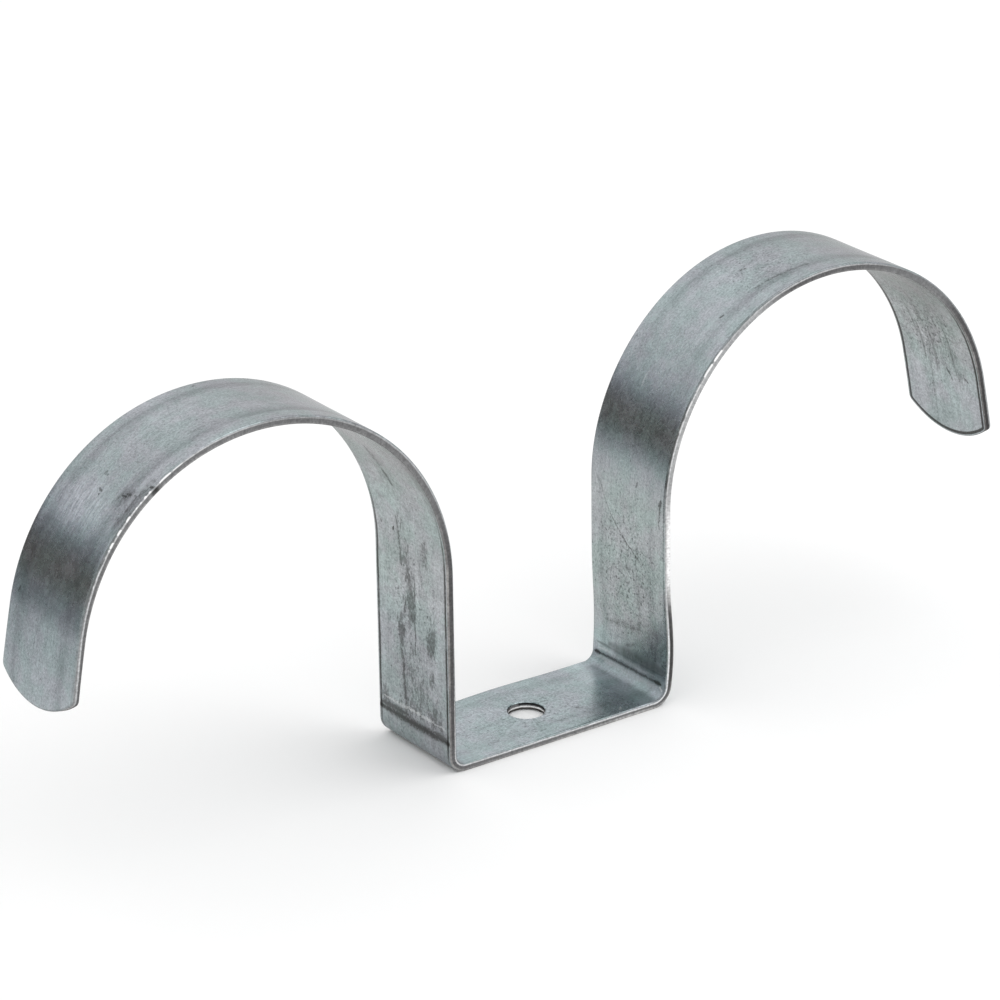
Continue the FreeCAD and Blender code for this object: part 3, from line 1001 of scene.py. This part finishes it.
def rim_line(tree, blank, side):
    """A dark line inside the edge of a face, as a mask: it wanders, comes and goes, is stronger in some
    stretches than in others, and keeps clear of the hole."""
    start, end, strength = RIM_LINES[side]
    wander = swing(tree, noise(tree, blank, 0.2, 3.0, 0.6, stretch=(1.0, 0.0, 0.0)))
    moved = times(tree, wander, RIM_LINE_WANDER, surface_value(tree, "inset"))
    lined = times(tree, ramp(tree, moved, start - 0.1, start + 0.1), ramp(tree, moved, end + 0.15, end - 0.1))
    come_and_go = ramp(tree, noise(tree, blank, 0.22, 3.0, 0.7), 0.34, 0.56, 0.65, 1.0)
    lined = times(tree, lined, times(tree, come_and_go, strength))
    lined = times(tree, lined, surface_value(tree, side + "_line"))
    from_hole = vector_maths(tree, "LENGTH", vector_maths(tree, "MULTIPLY", blank, (1, 1, 0)))
    return times(tree, lined, ramp(tree, from_hole, HOLE_RADIUS + 1, HOLE_RADIUS + 2))


def zinc_face(name, groups, side, marks, banded=0.0):
    """A zinc-coated face: rolled zinc, lighter or darker along the strip by stains and painted light and
    shade, with rolling bands, dark rubs, blots, stains and tool lines, some of them painted shade, bright
    rubs and painted highlights, a dark line inside the edge, and nicks painted as glints on the corner laid
    over it."""
    material, tree, shader, blank = new_metal(name)

    def mask(kind, places, pattern):
        return add_marks(tree, groups, marks.get(kind, ()), places, pattern)

    zinc = put(
        tree, "ShaderNodeGroup", groups["zinc"], Blank=blank, Pitting=mask("pitted", blank, 0.5),
        Flecking=mask("flecked", blank, 0.5), Brushing=mask("brushed", blank, 0.5),
    ).outputs
    grain, smear, grit, places = (zinc[kind] for kind in ("Grain", "Smear", "Grit", "Wandering"))

    colour = zinc["Colour"]
    # Casts of colour; the outer warmth is partly painted brown in the mirrored dark bands
    for cast, tint in (("_warmth", WARM_CAST), ("_green", GREEN_CAST)):
        colour = blend(tree, surface_value(tree, side + cast), colour, tint, "MULTIPLY")
    # Lighter or darker along the strip: stains, and painted light and shade
    colour = toned(tree, colour, maths(tree, "ADD", surface_value(tree, side + "_shade"), 1.0))
    if banded:
        band = times(tree, rolling_bands(tree, blank, smear), banded)
        colour = blend(tree, band, colour, BAND_TINT, "MULTIPLY")
    # Stains, a few of them painted darker reflection
    colour = blend(tree, mask("stains_and_shade", places, smear), colour, SCUFF_AND_SHADE_TINT, "MULTIPLY")
    rubbed = speckled(tree, mask("rubs", places, grain), grit, RUB_DARKNESS)
    blotted = speckled(tree, mask("blots", places, smear), grit, BLOT_DARKNESS)
    dark = maths(tree, "MAXIMUM", rubbed, blotted)
    # Tool lines and ribs, and painted contact shadow at the left bend
    dark = maths(tree, "MAXIMUM", dark, mask("creases_and_contact_shadow", blank, grain))
    colour = blend(tree, dark, colour, SCUFF_AND_SHADE_TINT, "MULTIPLY")
    # Bright rubs and painted highlights
    colour = blend(tree, mask("bright_rubs_and_highlights", places, grain), colour, RUB_AND_HIGHLIGHT_ZINC)
    colour = blend(tree, rim_line(tree, blank, side), colour, SCUFF_AND_SHADE_TINT, "MULTIPLY")
    # Nicks painted as white glints
    colour = blend(tree, mask("nick_glints", blank, smear), colour, NICK_GLINT_WHITE)

    rough = times(tree, foot_bends(tree, blank), BEND_ROUGHNESS, zinc["Roughness"])
    rough = times(tree, dark, DARK_ROUGHNESS, rough)
    dress(tree, shader, colour, rough, zinc["Height"], ZINC_RELIEF)
    return material


def cut_patterns(tree, blank):
    """Tears and fine grain as patterns, and the depth below the outer face made ragged by the tears."""
    tear = noise(tree, blank, *TEAR_PATTERN)
    fine = noise(tree, blank, *FINE_PATTERN)
    return tear, fine, times(tree, swing(tree, tear), RAGGEDNESS, split(tree, blank)["Z"])


def drawn_zinc(tree):
    """The colour of zinc that is drawn over a cut's corner, darker where the outer face has its dark line."""
    lined = times(tree, surface_value(tree, "outer_line"), 0.6, clamp=True)
    return blend(tree, lined, CUT_ZINC, SCUFF_AND_SHADE_TINT, "MULTIPLY")


def burnished_below(tree, depth, tear_start):
    """1 below the start of a cut's burnish, and 0 above it."""
    return ramp(tree, depth, tear_start - BURNISH - 0.10, tear_start - BURNISH + 0.06)


def torn_below(tree, depth, tear_start):
    """1 below the start of a cut's tear, and 0 above it."""
    return ramp(tree, depth, tear_start - 0.06, tear_start + 0.12)


def tear_shade(tree, tear, fine):
    """Lighter and darker lines down a cut."""
    shade = ramp(tree, tear, 0.25, 0.75, 0.82, 1.18, smooth=False)
    return times(tree, shade, ramp(tree, fine, 0.25, 0.75, 0.72, 1.28, smooth=False))


def dress_cut(tree, shader, colour, tear, torn):
    """Joins a cut's finish to its shader: torn steel is rougher, and its tears stand out."""
    rough = ramp(tree, torn, 0.0, 1.0, 0.30, 0.55)
    dress(tree, shader, colour, rough, times(tree, tear, torn), TEAR_RELIEF)


def sheared_edge(groups):
    """The cut round the outline, from the outer face down: zinc drawn over the corner, a bright ridge,
    dark torn steel with tear lines down it, and a smoothed border.  Parts of its front are darker, a
    stretch is painted near white as a highlight, and bright nicks on the ridge are painted as glints."""
    material, tree, shader, blank = new_metal("sheared edge")
    _, across, depth = split(tree, blank)
    tear, fine, ragged = cut_patterns(tree, blank)
    drop = surface_value(tree, "cut_drop")
    upper = maths(tree, "SUBTRACT", ragged, drop)
    lower = maths(tree, "ADD", times(tree, drop, -0.5, ragged), surface_value(tree, "border_rise"))

    raised = maths(tree, "ADD", upper, surface_value(tree, "ridge_rise"))
    ridge = times(tree, burnished_below(tree, raised, EDGE_TEAR_START), surface_value(tree, "ridge"))
    colour = blend(tree, ridge, drawn_zinc(tree), BURNISHED_STEEL)
    come_and_go = ramp(tree, noise(tree, blank, 0.16, 3.0, 0.6), 0.40, 0.62, 0.6, 1.0)
    border = times(tree, ramp(tree, lower, EDGE_TEAR_END - 0.14, EDGE_TEAR_END + 0.14), come_and_go)
    border = times(tree, border, surface_value(tree, "border"), clamp=True)
    torn = times(tree, torn_below(tree, upper, EDGE_TEAR_START), surface_value(tree, "tear"))
    colour = blend(tree, torn, colour, blend(tree, border, TORN_STEEL, BORDER_STEEL))

    darker_front = ramp(tree, upper, EDGE_TEAR_START, EDGE_TEAR_START + 0.15)
    darker_front = times(tree, darker_front, surface_value(tree, "edge_darkening"))
    darker_front = times(tree, darker_front, maths(tree, "LESS_THAN", across, 0.0))
    colour = blend(tree, darker_front, colour, SCUFF_AND_SHADE_TINT, "MULTIPLY")
    # A stretch of the edge painted near white as a highlight
    edge_highlight = times(tree, surface_value(tree, "edge_highlight"), ramp(tree, depth, 0.25, 1.0))
    colour = toned(tree, blend(tree, edge_highlight, colour, HIGHLIGHT_STEEL), tear_shade(tree, tear, fine))
    # Nicks on the ridge, painted as white glints
    glinting = add_marks(tree, groups, rim_nick_glints(*EDGE_NICK_GLINTS), blank, fine)
    glinting = times(tree, glinting, ramp(tree, upper, EDGE_TEAR_START + 0.04, EDGE_TEAR_START - 0.08))
    dress_cut(tree, shader, blend(tree, glinting, colour, NICK_GLINT_WHITE), tear, torn)
    return material


def punched_wall():
    """The hole's wall, from the outer face down: zinc drawn over the rim, a bright burnish and dark torn
    steel.  Painted shadow blackens its upper part under the rim on the right, and dark pocks lie on the left."""
    material, tree, shader, blank = new_metal("punched wall")
    along = split(tree, blank)["X"]
    tear, fine, ragged = cut_patterns(tree, blank)
    upper = maths(tree, "SUBTRACT", ragged, surface_value(tree, "cut_drop"))
    colour = blend(tree, burnished_below(tree, upper, HOLE_TEAR_START), drawn_zinc(tree), HOLE_BURNISH)
    torn = torn_below(tree, upper, HOLE_TEAR_START)
    colour = toned(tree, blend(tree, torn, colour, HOLE_TORN), tear_shade(tree, tear, fine))
    # Painted shadow under the far rim
    rim = ramp(tree, ragged, HOLE_ROLL_OVER + 0.46, HOLE_ROLL_OVER + 0.28, 0.0, RIM_SHADOW_STRENGTH)
    rim = times(tree, rim, ramp(tree, along, 0.0, 1.0))
    pocked = ramp(tree, fine, 0.50, 0.66, 0.0, POCK_STRENGTH)
    pocked = times(tree, pocked, ramp(tree, along, 0.3, -1.2))
    colour = blend(tree, maths(tree, "MAXIMUM", rim, pocked), colour, HOLE_SHADOW_AND_POCKS)
    dress_cut(tree, shader, colour, tear, torn)
    return material


def make_strip(materials):
    """The strip as an object: bent places as vertices, the blank's places, the insets and the values
    along the strip as attributes that the finishes read, and the flat pattern as its texture layout."""
    places, faces, flats, finishes = strip_mesh()
    blank = places[:, :3]
    mesh = bpy.data.meshes.new("bracket_strip_skin")
    mesh.from_pydata(bend_strip(blank), [], faces)
    for material in materials:
        mesh.materials.append(material)
    mesh.polygons.foreach_set("material_index", finishes.astype(np.int32))
    attribute = mesh.attributes.new("blank", "FLOAT_VECTOR", "POINT")
    attribute.data.foreach_set("vector", blank.astype(np.float32).ravel())
    values = {name: np.interp(blank[:, 0], *np.transpose(stops)) for name, stops in ALONG_STRIP.items()}
    values["inset"] = places[:, 3]
    for name, value in values.items():
        attribute = mesh.attributes.new(name, "FLOAT", "POINT")
        attribute.data.foreach_set("value", value.astype(np.float32))
    layout = mesh.uv_layers.new(name="OFBake")
    layout.uv.foreach_set("vector", cut_into_rows(flats).astype(np.float32).ravel())
    mesh.shade_smooth()
    mesh.set_sharp_from_angle(angle=SHARP_ANGLE)
    mesh.validate()
    strip = bpy.data.objects.new("bracket_strip_skin", mesh)
    bpy.context.collection.objects.link(strip)
    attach(strip, "root")
    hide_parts("bracket_strip")


# Stage: a pale floor, a white surround, a soft lamp and a dark cove that the metal mirrors

FLOOR_COLOUR = (0.95, 0.95, 0.95, 1)
FLOOR_HALF = 6.0
COVE_MIDDLE = (-0.300, 0.365)
COVE_WIDTH = 0.36
COVE_SKIRT = 0.36
COVE_HEIGHT = 0.50
COVE_LIFT = 0.0005

# Colours of the cove by the way over its skirt and up its wall, in metres; the skirt's grey towards
# the wall is painted shadow of the wall on the floor
COVE_COLOURS = (
    (0.00, (0.95, 0.95, 0.95, 1)),
    (0.05, (0.92, 0.92, 0.925, 1)),
    (0.12, (0.83, 0.85, 0.855, 1)),
    (0.20, (0.655, 0.695, 0.71, 1)),
    (0.36, (0.330, 0.364, 0.388, 1)),
    (0.41, (0.158, 0.166, 0.171, 1)),
    (0.44, (0.138, 0.120, 0.110, 1)),
    (0.49, (0.132, 0.115, 0.106, 1)),
    (0.53, (0.142, 0.156, 0.172, 1)),
    (0.555, (0.225, 0.251, 0.276, 1)),
    (0.575, (0.430, 0.457, 0.477, 1)),
    (0.61, (0.61, 0.62, 0.635, 1)),
    (0.66, (0.71, 0.715, 0.72, 1)),
    (0.75, (0.85, 0.85, 0.855, 1)),
    (0.86, (0.97, 0.97, 0.97, 1)),
)
LAMP_PLACE = (0.45, -0.35, 0.75)
LAMP_SIZE = 0.8
LAMP_POWER = 1.8
WORLD_COLOUR = (1.0, 1.0, 1.0, 1)

# Camera, fitted to the photograph's outline
CAMERA_AZIMUTH = np.radians(35.30)
CAMERA_ELEVATION = np.radians(22.79)
CAMERA_ROLL = np.radians(-0.888)
CAMERA_DISTANCE = 837.2
CAMERA_TARGET = (-4.437, 1.087, 44.571)
CAMERA_LENS = 166.47
CAMERA_SENSOR = 36.0


def stage_sheet(name, points, faces, material):
    """A sheet that belongs to the stage."""
    mesh = bpy.data.meshes.new(name)
    mesh.from_pydata(points, [], faces)
    mesh.materials.append(material)
    sheet = bpy.data.objects.new(name, mesh)
    bpy.context.collection.objects.link(sheet)
    return sheet


def matt_paint(name):
    """A matt paint: its material and the socket of its colour."""
    material = bpy.data.materials.new(name)
    material.use_nodes = True
    shader = material.node_tree.nodes["Principled BSDF"]
    shader.inputs["Roughness"].default_value = 1.0
    shader.inputs["Specular IOR Level"].default_value = 0.0
    return material, shader.inputs["Base Color"]


def make_cove():
    """A sheet that runs over the floor away from the object and then up, coloured by the way along it,
    with painted shadow of its wall over the skirt.  Only the metal's reflections show it."""
    material, colour = matt_paint("cove paint")
    tree = material.node_tree
    whole = COVE_SKIRT + COVE_HEIGHT
    shade = put(tree, "ShaderNodeValToRGB", Fac=maths(tree, "DIVIDE", surface_value(tree, "way"), whole))
    stops = shade.color_ramp.elements
    while len(stops) < len(COVE_COLOURS):
        stops.new(1.0)
    for stop, (place, tint) in zip(stops, COVE_COLOURS):
        stop.position = place / whole
        stop.color = tint
    fill(tree, colour, shade.outputs["Color"])

    foot = np.array([*COVE_MIDDLE, COVE_LIFT])
    back = np.array([*COVE_MIDDLE, 0.0]) / np.linalg.norm(COVE_MIDDLE)
    side = np.array([-back[1], back[0], 0.0]) * COVE_WIDTH / 2
    line = np.array([foot - COVE_SKIRT * back, foot, foot + (0, 0, COVE_HEIGHT)])
    points = np.concatenate([line - side, line + side])
    cove = stage_sheet("dark_cove", points, [(0, 1, 4, 3), (1, 2, 5, 4)], material)
    attribute = cove.data.attributes.new("way", "FLOAT", "POINT")
    attribute.data.foreach_set("value", np.float32([0, COVE_SKIRT, whole] * 2))
    cove.visible_camera = False
    cove.visible_diffuse = False
    cove.visible_shadow = False


def make_stage():
    """Floor, cove, lamp and surround."""
    far = FLOOR_HALF
    corners = [(-far, -far, 0), (far, -far, 0), (far, far, 0), (-far, far, 0)]
    material, colour = matt_paint("floor paint")
    colour.default_value = FLOOR_COLOUR
    stage_sheet("floor", corners, [(0, 1, 2, 3)], material)
    make_cove()

    lamp = bpy.data.lights.new("soft_lamp", "AREA")
    lamp.size = LAMP_SIZE
    lamp.energy = LAMP_POWER
    holder = bpy.data.objects.new("soft_lamp", lamp)
    holder.location = LAMP_PLACE
    holder.rotation_euler = (-Vector(LAMP_PLACE)).to_track_quat("-Z", "Y").to_euler()
    bpy.context.collection.objects.link(holder)

    world = bpy.data.worlds.new("white surround")
    world.use_nodes = True
    world.node_tree.nodes["Background"].inputs["Color"].default_value = WORLD_COLOUR
    bpy.context.scene.world = world
    bpy.context.scene.view_settings.view_transform = "Standard"


def make_camera():
    """The camera looks down the azimuth and elevation at the target, turned by the roll."""
    flat = np.cos(CAMERA_ELEVATION)
    look = np.array([
        np.sin(CAMERA_AZIMUTH) * flat, np.cos(CAMERA_AZIMUTH) * flat, -np.sin(CAMERA_ELEVATION)
    ])
    level = np.array([np.cos(CAMERA_AZIMUTH), -np.sin(CAMERA_AZIMUTH), 0.0])
    upright = np.cross(level, look)
    right = np.cos(CAMERA_ROLL) * level + np.sin(CAMERA_ROLL) * upright
    up = np.cross(right, look)
    eye = MM * (np.array(CAMERA_TARGET) - CAMERA_DISTANCE * look)
    lens = bpy.data.cameras.new("camera")
    lens.lens = CAMERA_LENS
    lens.sensor_width = CAMERA_SENSOR
    camera = bpy.data.objects.new("camera", lens)
    turned = Matrix((right, up, -look)).transposed().to_4x4()
    camera.matrix_world = Matrix.Translation(eye) @ turned
    bpy.context.collection.objects.link(camera)
    bpy.context.scene.camera = camera


groups = {
    "zinc": rolled_zinc_group(),
    "stroke": stroke_group(),
    "smudge": smudge_group(),
}
outer_marks = {**OUTER_MARKS, "nick_glints": rim_nick_glints(*FACE_NICK_GLINTS)}
make_strip((
    zinc_face("outer zinc", groups, "outer", outer_marks, BAND_STRENGTH),
    zinc_face("inner zinc", groups, "inner", INNER_MARKS),
    sheared_edge(groups),
    punched_wall(),
))
make_stage()
make_camera()
